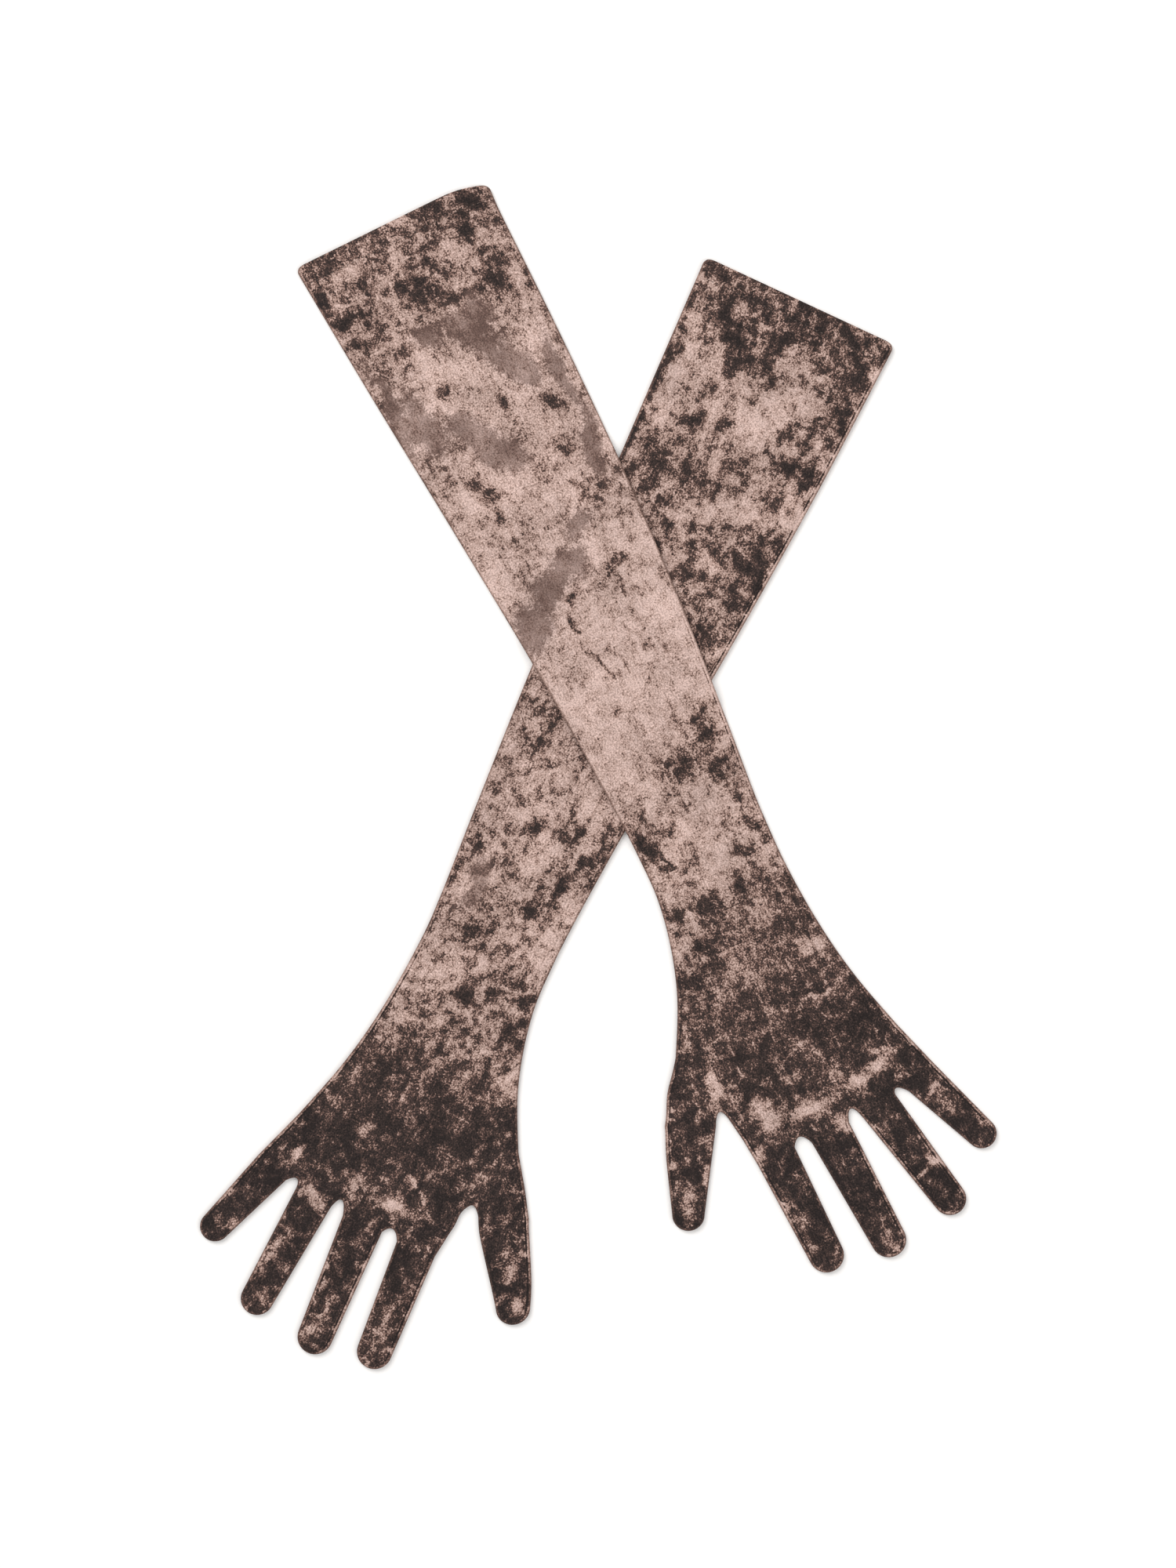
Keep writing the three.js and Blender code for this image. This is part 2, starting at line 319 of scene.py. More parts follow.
def line(start, end, step):
    """Points from start to end, both included."""
    start, end = np.array(start, float), np.array(end, float)
    count = max(1, math.ceil(np.linalg.norm(end - start) / step))
    return start + (end - start) * np.linspace(0, 1, count + 1)[:, None]


def crotch_arc(start, lowest, end, steps=9):
    """A round crotch from one finger's corner to the next, through its lowest point."""
    start, lowest, end = (np.array(p, float) for p in (start, lowest, end))
    handle = 2 * lowest - (start + end) / 2
    t = np.linspace(0, 1, steps + 1)[:, None]
    return start * (1 - t) ** 2 + 2 * handle * t * (1 - t) + end * t**2


def between_fingers(glove, index, step):
    """The open edge from finger `index` to the next one."""
    start = root_corners(glove, NAMES[index])[1]
    end = root_corners(glove, NAMES[index + 1])[0]
    if index:
        return crotch_arc(start, CROTCHES[index], end)
    stops = [*THUMB_WEB, end]
    web = [line(a, b, step)[1:] for a, b in zip(stops, stops[1:])]
    return np.vstack([crotch_arc(start, CROTCHES[0], THUMB_WEB[0]), *web])


# %% [markdown]
# ## Cutting the cloth
#
# Each panel starts as a plain grid. Its points are set on the pattern first, still flat, and only
# then laid on the table. Filling the outline with triangles would be quicker, but they would cut
# across the seam. Here the grid lines crowd together along the edges, where the cloth rolls over and
# the seam runs, and are wide apart in the middle.
#
# A finger's grid runs in loops like a running track, up one side, round the tip and down the other,
# and its last loop folds shut on the finger's middle line. The hand's grid is stretched between four
# curved sides. Panels that meet at a fold line share the same points along it, so they never gape.

# %% Grid spacing
EDGE_STEPS = np.array([0, 0.12, 0.4, 0.8, 1.2, 1.6, 2.0, 2.5, 3.2, 4.2])
EDGE_RUN = EDGE_STEPS[-1]
CELL = 1.8  # the usual spacing, in millimetres


def half_across(width):
    """Distances from an edge to the middle."""
    count = math.ceil((width / 2 - EDGE_RUN) / CELL)
    return np.concatenate([EDGE_STEPS, np.linspace(EDGE_RUN, width / 2, count + 1)[1:]])


def across_finger(width):
    half = half_across(width)
    return np.concatenate([half, width - half[-2::-1]])


# %% Finger grid
CAP_STEPS = 22


def finger_grid(glove, name):
    """Rows run inwards from the edge, columns along the edge, from the thumb side round the tip."""
    sizes = FINGERS[name]
    root, forward, across = finger_axes(glove, name)
    radius = sizes["tip"] / 2
    shaft = sizes["length"] - radius
    inwards = half_across(sizes["width"])
    share = (inwards - EDGE_RUN) / (sizes["width"] / 2 - EDGE_RUN)

    def depths(half):
        return np.where(inwards <= EDGE_RUN, inwards, EDGE_RUN + share * (half - EDGE_RUN))

    steps = np.linspace(0, shaft, math.ceil(shaft / CELL) + 1)
    columns = []
    for side in (-1, 1):
        sides = []
        for a in steps:
            half = sizes["width"] / 2 + (radius - sizes["width"] / 2) * a / shaft
            offset = side * (half - depths(half))
            sides.append(root + forward * a + across * offset[:, None])
        columns.append(sides)
    cap = []
    for angle in np.linspace(0, math.pi, CAP_STEPS + 1)[1:-1]:
        arm = -across * math.cos(angle) + forward * math.sin(angle)
        cap.append(root + forward * shaft + arm * (radius - depths(radius))[:, None])
    return np.stack([*columns[0], *cap, *columns[1][::-1]], axis=1)


# %% Hand grid
HAND_SIDE_POINTS = 40
HAND_SIDE = 105  # about the length of the hand's long sides


def along_curve(points, shares):
    """Points at the given shares of a curve's length."""
    run = np.concatenate([[0], np.cumsum(np.linalg.norm(np.diff(points, axis=0), axis=1))])
    at = np.asarray(shares) * run[-1]
    return np.stack([np.interp(at, run, points[:, 0]), np.interp(at, run, points[:, 1])], axis=1)


def finger_side(glove):
    """The hand's far side: every finger's fold line, and the open edges between them."""
    parts = []
    for i, name in enumerate(NAMES):
        near, _ = root_corners(glove, name)
        across = finger_axes(glove, name)[2]
        parts.append(near + across * across_finger(FINGERS[name]["width"])[:, None])
        if i < len(NAMES) - 1:
            parts.append(between_fingers(glove, i, CELL)[1:-1])
    return np.vstack(parts)


def wrist_spacing(glove):
    """Distances across the wrist, one for each point of the finger side."""
    thumb, little = edges_at(WRIST)
    width = little - thumb
    far = finger_side(glove)
    run = np.concatenate([[0], np.cumsum(np.linalg.norm(np.diff(far, axis=0), axis=1))])
    inner = (run - EDGE_RUN) / (run[-1] - 2 * EDGE_RUN)
    spacing = EDGE_RUN + inner * (width - 2 * EDGE_RUN)
    count = len(EDGE_STEPS)
    spacing[:count] = EDGE_STEPS
    spacing[-count:] = width - EDGE_STEPS[::-1]
    return spacing


def hand_grid(glove):
    """A patch stretched between the wrist, the two long edges and the finger side."""
    near_corner, far_corner = root_corners(glove, "thumb")[0], root_corners(glove, "little")[1]
    far = finger_side(glove)
    thumb, little = edges_at(WRIST)
    spacing = wrist_spacing(glove)
    near = np.stack([np.full(len(spacing), float(WRIST)), thumb + spacing], axis=1)

    thumb_u = np.linspace(WRIST, THUMB_EDGE_END, HAND_SIDE_POINTS)
    little_u = np.linspace(WRIST, LITTLE_EDGE_END, HAND_SIDE_POINTS)
    thumb_line = np.stack([thumb_u, edges_at(thumb_u)[0]], axis=1)
    little_line = np.stack([little_u, edges_at(little_u)[1]], axis=1)
    rows = np.linspace(0, HAND_SIDE - EDGE_RUN, math.ceil((HAND_SIDE - EDGE_RUN) / CELL) + 1)
    b = np.concatenate([rows[:-1], HAND_SIDE - EDGE_STEPS[::-1]]) / HAND_SIDE
    left = along_curve(np.vstack([thumb_line, near_corner]), b)
    right = along_curve(np.vstack([little_line, far_corner]), b)

    a = (spacing / spacing[-1])[None, :, None]
    b = b[:, None, None]
    ruled = (1 - b) * near[None] + b * far[None]
    left_bulge = left[:, None] - ((1 - b) * near[0] + b * far[0])
    right_bulge = right[:, None] - ((1 - b) * near[-1] + b * far[-1])
    return ruled + (1 - a) * left_bulge + a * right_bulge


# %% [markdown]
# The sleeve is a long ribbon. At the cuff the cloth turns over a small round fold and runs back
# inside for the depth of the hem, so panel and hem are one piece of cloth, as they are on the real
# glove. A third number says how far a point is turned over: 0 outside, 1 at the fold, 2 inside.

# %% Sleeve grid
HEM_DEPTH = 10.5
HEM_ROWS = (8, 5.5, 3, 1.5)  # the turned-in part, from its raw edge back to the cuff
FOLD_RADIUS = 0.7
FOLD_STEPS = 8
HEM_INSET = 2.2  # the turned-in part is this much narrower on each side
CUFF_STEPS = [1.1, 1.7, 2.4, 3.2, CUFF_CORNER, 5.6, 7.4]
STITCH_ROW_STEPS = [HEM_DEPTH + step for step in (-1.2, -0.6, 0, 0.6, 1.2)]
SLEEVE_CELL = 2.0


def sleeve_grid(glove):
    spacing = wrist_spacing(glove)
    inner = (spacing - EDGE_RUN) / (spacing[-1] - 2 * EDGE_RUN)
    angles = np.linspace(0, math.pi, FOLD_STEPS + 1)
    inside = [(u, 2.0) for u in (HEM_DEPTH, *HEM_ROWS)]
    fold = [(FOLD_RADIUS * (1 - math.sin(a)), 1 - math.cos(a)) for a in angles[::-1]]
    start = STITCH_ROW_STEPS[-1]
    body = np.linspace(start, WRIST, math.ceil((WRIST - start) / SLEEVE_CELL) + 1)[1:]
    outside = [(u, 0.0) for u in (*CUFF_STEPS, *STITCH_ROW_STEPS, *body)]
    rows = []
    for u, turned in [*inside, *fold, *outside]:
        thumb, little = edges_at(u)
        inset = HEM_INSET * turned / 2
        thumb, little = thumb + inset, little - inset
        v = thumb + EDGE_RUN + inner * (little - thumb - 2 * EDGE_RUN)
        v = np.where(spacing <= EDGE_RUN, thumb + spacing, v)
        v = np.where(spacing[-1] - spacing <= EDGE_RUN, little - (spacing[-1] - spacing), v)
        rows.append(np.stack([np.full(len(v), u), v, np.full(len(v), turned)], axis=1))
    return np.stack(rows)


print("sleeve grid:", sleeve_grid(GLOVES["left"]).shape, "hand grid:", hand_grid(GLOVES["left"]).shape)


# %% Flat cloth from a grid
WELD = 0.001
TURNED_APART = 5  # keeps the hem apart from the panel while the cloth is still flat


def cut_cloth(points):
    """Cuts one panel. The mesh holds pattern places: u, v, and how far the cloth is turned over."""
    rows, columns = points.shape[:2]
    bm = bmesh.new()
    bmesh.ops.create_grid(bm, x_segments=columns - 1, y_segments=rows - 1, size=0.5)
    for vert in bm.verts:
        column = round((vert.co.x + 0.5) * (columns - 1))
        row = round((vert.co.y + 0.5) * (rows - 1))
        place = points[row, column]
        turned = place[2] if len(place) > 2 else 0
        vert.co = (place[0], place[1], turned * TURNED_APART)
    bmesh.ops.remove_doubles(bm, verts=bm.verts[:], dist=WELD)
    return bm


# %% [markdown]
# ## Laying the cloth
#
# A velvet glove is only a few millimetres thick where it lies. Its height depends mostly on how far
# a point is from the sewn edge: the cloth rolls over in a quarter round, dips into the seam, stands
# on the seam allowance inside, and sinks again towards the middle. The distance is measured to the
# whole outline, fingers and crotches included, so the seam follows every curve by itself. A cloth
# simulation would find folds that pressed, flat-lying gloves don't have.


# %% Outline and distance to it
def outline(glove):
    """The sewn edge on the pattern, from the cuff round the fingers and back to the cuff."""
    corner = np.array([0, 0.15, 0.5, 1, 1.8, 2.8, CUFF_CORNER])
    thumb_u = np.concatenate([corner, np.linspace(8, THUMB_EDGE_END, 115)])
    little_u = np.concatenate([corner, np.linspace(8, LITTLE_EDGE_END, 123)])[::-1]
    parts = [np.stack([thumb_u, edges_at(thumb_u)[0]], axis=1)]
    for i, name in enumerate(NAMES):
        parts.append(finger_grid(glove, name)[0])
        if i < len(NAMES) - 1:
            parts.append(between_fingers(glove, i, 4)[1:-1])
    parts.append(np.stack([little_u, edges_at(little_u)[1]], axis=1))
    return np.vstack(parts)


def distance_to(edge, u, v, chunk=1500):
    """Each point's distance to a line of straight pieces."""
    start, step = edge[:-1], np.diff(edge, axis=0)
    length = (step**2).sum(axis=1)
    keep = length > 1e-9
    start, step, length = start[keep], step[keep], length[keep]
    nearest = []
    for i in range(0, len(u), chunk):
        du = u[i : i + chunk, None] - start[None, :, 0]
        dv = v[i : i + chunk, None] - start[None, :, 1]
        t = np.clip((du * step[:, 0] + dv * step[:, 1]) / length, 0, 1)
        nearest.append(np.hypot(du - t * step[:, 0], dv - t * step[:, 1]).min(axis=1))
    return np.concatenate(nearest)


OUTLINES = {side: outline(glove) for side, glove in GLOVES.items()}
print("outline pieces:", {side: len(edge) for side, edge in OUTLINES.items()})


# %% Where the seam shows
def patch(u, v, centre_u, centre_v, half_length, half_width, tilt):
    """1 in the middle of a soft patch, falling to 0 outside it. The tilt is in degrees."""
    c, s = math.cos(math.radians(tilt)), math.sin(math.radians(tilt))
    du, dv = u - centre_u, v - centre_v
    reach = ((du * c + dv * s) / half_length) ** 2 + ((dv * c - du * s) / half_width) ** 2
    return np.exp(-reach)


# The pile hides most of the seam. It stands out here: u, v, half length, half width, tilt.
SEAM_SHOWS = {
    "right": [
        (495, -82, 45, 8, -28), (545, -42, 45, 5, 3), (565, 10, 36, 5, 0), (562, 25, 34, 5, 14),
        (568, 44, 26, 5, 14), (525, 62, 55, 7, 21), (292, 44, 42, 7, -5), (560, 34, 5, 5, 0),
    ],
    "left": [
        (120, -47, 130, 10, 4), (500, -83, 45, 8, -28), (560, -43, 32, 5, 0), (566, -12, 36, 5, 0),
        (560, -21, 30, 3, -1), (512, 60, 60, 7, 20), (570, 11, 26, 5, 0), (420, 40, 40, 6, 3),
    ],
}
SEAM_FAINT = 0.15


def seam_shown(side, u, v):
    """How much of the seam is seen beside the edge, from SEAM_FAINT to 1."""
    shown = sum(patch(u, v, *where) for where in SEAM_SHOWS[side])
    return np.clip(SEAM_FAINT + (1 - SEAM_FAINT) * shown, 0, 1)


# %% Heights
CLOTH = 0.6  # thickness of the velvet with its knit backing
MEETING = 1.3  # height at which the two panels meet along the edge
EDGE_ROUND = 1.3
RIDGE, LOFT, HEM_TOP = 2.85, 2.3, 3.05  # on the seam allowance, in the middle, on the hem
RIDGE_END, LOFT_START = 5.0, 9.0
WAVES = ((0.22, 34, 1), (0.16, 13, 1.6))  # height, length, and squeeze of the unevenness
SEAM_INSET, SEAM_HALF = 1.9, 0.42
SEAM_DIP = {"palm": 0.6, "back": 0.35}
STITCH_DIP, STITCH_HALF = 0.35, 0.55
UNDERSIDE = 0.05
SEAM_OPEN = 0.06


def ripple(u, v, wavelength, seed):
    """Smooth unevenness between about -1 and 1."""
    return np.array([noise.noise(Vector((a / wavelength, b / wavelength, seed))) for a, b in zip(u, v)])


def rolled(distance):
    """0 at the edge, rising as a quarter round to 1."""
    missing = np.clip(1 - distance / EDGE_ROUND, 0, 1)
    return np.sqrt(1 - missing**2)


def seam_dip(distance):
    """1 on the seam line, 0 beside it."""
    return np.exp(-(((distance - SEAM_INSET) / SEAM_HALF) ** 2))


def palm_height(side, u, v, distance, turned):
    """Height of the palm panel's outer face. Turned cloth hangs below it, round the cuff's fold."""
    seed = GLOVES[side]["seed"]
    on_hem = 1 - smoothstep(u, HEM_DEPTH - 0.5, HEM_DEPTH + 2)
    inside = smoothstep(distance, RIDGE_END, LOFT_START)
    free = smoothstep(distance, 2.5, 9) * (1 - 0.6 * on_hem)
    crest = RIDGE + (LOFT - RIDGE) * inside * (1 - on_hem) + (HEM_TOP - RIDGE) * on_hem
    for i, (swell, length, squeeze) in enumerate(WAVES):
        crest = crest + free * swell * ripple(u, v * squeeze, length, seed + 3 * i)
    crest = crest - STITCH_DIP * np.exp(-(((u - HEM_DEPTH) / STITCH_HALF) ** 2)) * (turned < 0.5)
    depth = SEAM_DIP["palm"] * seam_shown(side, u, v) * (1 - 0.5 * on_hem) * (1 - turned / 2)
    height = MEETING + (crest - MEETING) * rolled(distance) - depth * seam_dip(distance)
    return np.maximum(height + SEAM_OPEN * (turned < 0.5), MEETING + SEAM_OPEN) - FOLD_RADIUS * turned


def back_height(distance, turned):
    """Height of the back panel's outer face, which lies on the table."""
    height = MEETING - (MEETING - UNDERSIDE) * rolled(distance)
    height = height + SEAM_DIP["back"] * seam_dip(distance) * (1 - turned / 2)
    return np.minimum(height, MEETING) + FOLD_RADIUS * turned


# %% The upper sleeve's rise
# Where the right sleeve crosses the left glove it lies on it, and comes down again just outside.
RISE, RISE_MARGIN, RISE_RUN = 3.1, 2, 13


def outside_sleeve(glove, x, y):
    """How far a place on the table lies outside a sleeve, less than zero under it."""
    turn = math.radians(glove["turn"])
    dx = x - CENTRING[0] - glove["cuff"][0]
    dy = y - CENTRING[1] - glove["cuff"][1]
    along = dx * math.sin(turn) - dy * math.cos(turn)
    u = np.clip(along / (1 + glove["stretch"] / NARROWEST), 0, NARROWEST)
    v = glove["mirror"] * (dx * math.cos(turn) + dy * math.sin(turn)) - bow_at(glove, u)
    thumb, little = edges_at(u)
    return np.maximum(thumb - v, v - little)


def rise_at(glove, x, y):
    """How far a glove is lifted at each place by the one that it crosses."""
    if not glove["over"]:
        return np.zeros(len(x))
    outside = outside_sleeve(GLOVES[glove["over"]], x, y)
    return RISE * (1 - smoothstep(outside, RISE_MARGIN, RISE_MARGIN + RISE_RUN))


# %% [markdown]
# ## Crushed pile
#
# Crushed velvet is pressed while wet, so its pile lies down in different directions. Where it leans
# towards the light it is pale and grainy, where it leans away it is nearly black, and where it was
# steamed flat it is a smooth mid brown. Strands of hair could carry this, but a fifth of a square
# metre of pile is too much to draw or to keep. So the lean is one number at each point: big areas
# are put on the pattern as listed soft patches with uneven borders, and the material breaks them
# up finely.

# %% Patches
# u, v, half length, half width, tilt in degrees, strength: above 0 the pile is dark, below 0 pale
PRESSED = {
    "right": [
        (4, -46, 7, 8, 0, 0.9), (21, -51, 8, 5, 0, 1.2), (37, -47, 5, 9, 0, 1.2),
        (53, -43, 5, 3, 20, 1.0), (6, -33, 5, 9, 0, 0.9), (26, -27, 10, 4, 0, 0.8),
        (49, -28, 6, 4, 30, 0.7), (68, -26, 6, 3, 10, 0.4), (36, -4, 9, 7, 20, 1.4),
        (46, 4, 7, 5, 60, 1.1), (28, 8, 4, 5, 0, 1.0), (19, -13, 5, 6, 30, 0.8), (4, -8, 5, 9, 0, 0.8),
        (5, 22, 8, 7, 0, 1.1), (8, 40, 10, 6, 0, 1.0), (19, 14, 4, 4, 0, 0.9), (21, 34, 5, 6, 0, 0.9),
        (42, 38, 9, 5, 0, 1.0), (53, 31, 6, 7, 30, 1.1), (50, 14, 3, 8, 0, 0.8),
        (93, -14, 6, 5, 0, 0.8), (146, -22, 10, 3, 8, 0.9), (150, 14, 12, 9, 0, 0.35),
        (128, -13, 7, 5, 0, 0.6), (153, -15, 6, 4, 40, 0.9), (168, -19, 12, 2.5, 5, 0.7),
        (139, -33, 2.5, 6, 0, 0.7), (110, 8, 9, 1.6, 10, 0.9), (124, 34, 8, 3, 40, 0.9),
        (174, 27, 6, 4, 30, 0.9), (147, 29, 4, 5, 0, 0.7), (175, 37, 8, 7, 0, 0.6),
        (219, -3, 4, 4, 0, 0.8), (214, 24, 3, 12, 25, 0.6), (233, -9, 9, 1.5, 6, 1.0),
        (257, -6, 11, 1.5, 12, 0.9), (284, -7, 2.5, 4, 0, 0.8), (103, -48, 8, 2, 0, 0.8),
        (312, 29, 12, 9, 0, 1.2), (325, 9, 10, 12, 0, 0.9), (333, 29, 7, 6, 0, 0.8),
        (350, -26, 13, 4, 0, 0.9), (368, 32, 8, 4, 0, 0.8), (373, 22, 5, 4, 0, -0.7),
        (390, -8, 5, 4, 0, -0.7), (372, -7, 6, 4, 0, 0.5), (388, 22, 9, 5, 0, 0.5),
        (398, -14, 7, 9, 0, 1.0), (352, -10, 7, 5, 0, 0.6), (345, 12, 9, 7, 0, -1.5),
        (343, -22, 5, 4, 0, 0.6), (367, -22, 10, 4, 0, 1.2), (350, 30, 8, 4, 0, 0.6),
        (376, 8, 15, 8, 0, -1.1), (414, -31, 7, 4, 0, -1.1), (450, -42, 8, 5, -30, 1.0),
        (438, -20, 8, 5, 0, -0.6), (402, 24, 8, 4, 0, 0.8), (411, 10, 7, 8, 0, -0.4),
        (419, -8, 9, 7, 20, 1.2), (404, -20, 8, 4, 0, -0.8), (440, 32, 7, 6, 0, -1.3),
        (536, 60, 8, 5, 20, 1.0), (538, -90, 6, 4, -28, 1.0), (489, -50, 6, 4, 0, -0.9),
        (483, -44, 9, 3, 0, -0.6), (511, -25, 11, 6, 20, -1.6), (516, -4, 5, 12, 0, -1.4),
        (513, 24, 3.5, 7, -10, -1.4), (510, 38, 4, 6, 10, -1.4), (497, 12, 7, 6, 0, 0.3),
        (525, -39, 5, 3, 0, -0.8), (572, -34, 10, 5, 0, -0.2), (498, -68, 14, 5, -28, 1.4),
        (531, 6, 4, 5, 0, -1.2), (532, -82, 8, 4, -20, -0.3), (524, -68, 5, 2.5, -30, -0.5),
        (478, -62, 14, 12, -30, 1.1), (428, -4, 12, 12, 0, 0.1), (440, 5, 9, 18, 0, 0.1),
        (458, 30, 8, 8, 0, 0.8), (470, -2, 12, 12, 0, 0.4), (569, 42, 4, 6, 20, -0.8),
        (547, 62, 3, 5, 30, -0.3), (580, -36, 8, 5, 0, -0.5), (393, 12, 4, 3, 0, 1.0),
        (400, -6, 4, 4, 30, 0.9), (368, -17, 9, 1.6, 5, 1.0), (464, 22, 0.9, 13, 0, -0.9),
        (482, 8, 0.8, 9, 20, -0.35), (570, 38, 1.3, 9, 20, -1.4), (534, 56, 1.3, 8, 25, -1.2),
    ],
    "left": [
        (9, -36, 8, 16, 0, 1.0), (32, -46, 26, 6, 0, 1.2), (56, -37, 10, 6, 30, 1.0),
        (7, 5, 9, 45, 0, 0.6), (10, 8, 10, 7, 0, 0.9), (25, -33, 6, 5, 0, 1.2), (26, 1, 15, 6, 0, 1.0),
        (35, 20, 16, 12, 0, 1.1), (25, 36, 6, 9, 30, 1.1), (68, -22, 9, 3, 0, 1.1),
        (83, -43, 6, 6, 0, 1.1), (81, -31, 6, 5, 40, 1.1), (100, -32, 7, 4, 0, 1.0),
        (75, 9, 3, 9, -30, 0.9), (80, 25, 4, 7, -30, 1.0), (92, 28, 3, 8, -20, 0.4),
        (109, 8, 5, 9, -20, 0.8), (108, 18, 5, 4, 0, 1.0), (122, 3, 4, 10, -20, -0.8),
        (114, 37, 13, 8, 0, 1.0), (96, 43, 8, 4, 0, 0.9), (132, -35, 16, 9, 0, 1.1),
        (146, -42, 14, 5, 0, 1.0), (135, -6, 7, 11, 10, 0.7), (153, -12, 4, 14, 0, 0.9),
        (118, -40, 4, 9, 0, 0.9), (136, 13, 7, 4, 0, 0.9), (150, 18, 8, 6, 0, 1.1),
        (140, -20, 5, 9, 0, 0.9), (178, -26, 9, 6, 0, 0.9), (72, 51, 50, 2.2, 0, 1.3),
        (82, -14, 12, 8, 0, -0.5), (96, 0, 8, 3, 0, 0.5), (248, 28, 7, 7, 0, 0.1),
        (270, 26, 12, 8, 0, 0.5), (281, 6, 7, 7, 0, -0.8), (306, 10, 6, 6, 0, 0.9),
        (312, 35, 8, 6, 0, -0.8), (340, 3, 6, 9, 0, -0.8), (298, -31, 18, 4, 3, 1.0),
        (313, -22, 14, 3, 10, 1.0), (330, -16, 9, 4, 0, 0.8), (298, -11, 5, 4, 0, 0.8),
        (347, -9, 4, 9, 0, 1.0), (362, 8, 6, 7, 0, 0.7), (326, 31, 6, 2.5, 0, 1.1),
        (342, 36, 12, 3, 0, 0.9), (328, 12, 5, 4, 0, 0.8), (396, -28, 14, 5, -8, 1.0),
        (414, -31, 9, 4, 0, 0.8), (425, -24, 12, 3, 0, 0.8), (400, 5, 6, 7, 30, 0.9),
        (392, -10, 7, 4, 0, 0.8), (372, -36, 3, 6, 0, 0.5), (455, -11, 16, 14, 0, 0.6),
        (424, 20, 13, 8, 0, 0.8), (45, -24, 12, 9, 0, -0.8), (38, -10, 10, 7, 0, -1.0),
        (65, -8, 16, 8, 0, -1.1), (58, 8, 11, 7, 0, -0.7), (52, 30, 10, 5, 0, -0.4),
        (65, 42, 22, 5, 0, -1.0), (113, -12, 5, 12, 0, -0.9), (110, -40, 6, 7, 0, -0.9),
        (270, 42, 20, 4, 0, -0.6), (340, -25, 12, 5, 0, -0.4), (348, -16, 7, 5, 0, 0.8),
        (365, -28, 14, 6, 0, -0.8), (395, 31, 20, 7, 0, -0.6), (432, 32, 16, 4, 0, -0.5),
        (447, -33, 8, 5, 0, 0.5), (446, -16, 8, 5, -30, -0.3), (462, 10, 10, 1.2, 0, -0.8),
        (485, 20, 4, 3, 0, -0.6), (503, -20, 1, 12, 40, -0.7), (487, -43, 10, 4, 30, 0.1),
        (516, -9, 4, 13, 0, -0.9), (502, -4, 5, 9, 0, 1.0), (514, 13, 6, 6, 0, -1.1),
        (514, 46, 6, 5, 0, -0.7), (545, 55, 14, 4, 18, 1.4), (530, 30, 4, 8, 20, -1.3),
        (488, -21, 8, 6, 0, 0.2), (447, 4, 8, 7, 0, 0.5), (517, -79, 8, 5, -20, -0.7),
        (566, -33, 12, 6, 0, -0.2), (560, 6, 12, 5, 0, -0.6), (565, 36, 10, 4, 8, -0.6),
        (592, 0, 5, 5, 0, -0.5), (535, -92, 6, 4, -28, -0.6), (580, -38, 8, 4, 0, -0.5),
        (430, -38, 10, 4, -10, -1.0), (476, -52, 9, 6, 30, 1.2), (525, 72, 20, 2, 18, -0.4),
        (466, 14, 9, 8, 0, 0.9),
    ],
}
STEAMED = {  # u, v, half length, half width, tilt
    "right": [
        (104, -33, 19, 8, 8), (116, -14, 12, 7, 20), (139, 0, 13, 8, 30), (92, -45, 26, 3.5, 3),
        (93, 24, 13, 8, 20), (72, 10, 16, 7, 10), (62, 22, 10, 6, 0), (108, 43, 24, 4, 0),
        (152, 42, 16, 5, 0), (226, -30, 14, 8, -35), (212, -13, 9, 8, -30), (203, 4, 8, 11, 0),
        (186, 18, 7, 9, 0), (64, -10, 7, 9, 0), (128, -13, 9, 5, 20), (103, 28, 8, 5, 10),
    ],
    "left": [
        (172, 12, 16, 10, 20), (345, 26, 14, 5, 0), (205, -8, 12, 8, 0),
    ],
}
# Where pale and dark tufts mix finely instead of in blots: u, v, half length, half width, tilt.
MINGLED = {
    "right": [
        (458, 0, 46, 40, 0), (425, 12, 22, 20, 0), (300, -5, 30, 30, 0), (130, 5, 60, 40, 0),
    ],
    "left": [
        (472, 12, 36, 44, 0), (450, -20, 18, 14, 0), (96, 20, 20, 20, 0),
    ],
}
BASE_PILE = {  # how dark the pile is along each glove: u, level
    "right": [
        (0, 0.0), (60, -0.15), (85, -0.5), (170, -0.6), (210, -0.85), (300, -0.85), (340, -0.45),
        (385, -0.1), (415, 0.6), (450, 0.8), (500, 0.85), (530, 1.25), (570, 1.3), (600, 0.8),
    ],
    "left": [
        (0, 0.25), (50, -0.05), (110, -0.15), (160, 0.0), (300, -0.3), (420, 0.0), (447, 1.0),
        (500, 1.15), (530, 1.25), (575, 1.15), (600, 0.8),
    ],
}
FINE_WAVER, FINE_WAVE = 3.2, 9  # the patches' borders wander this far, over this length
BROAD_WAVER, BROAD_WAVE = 5, 24
OVERLAID = 0.75  # how much of the pile below a new patch hides


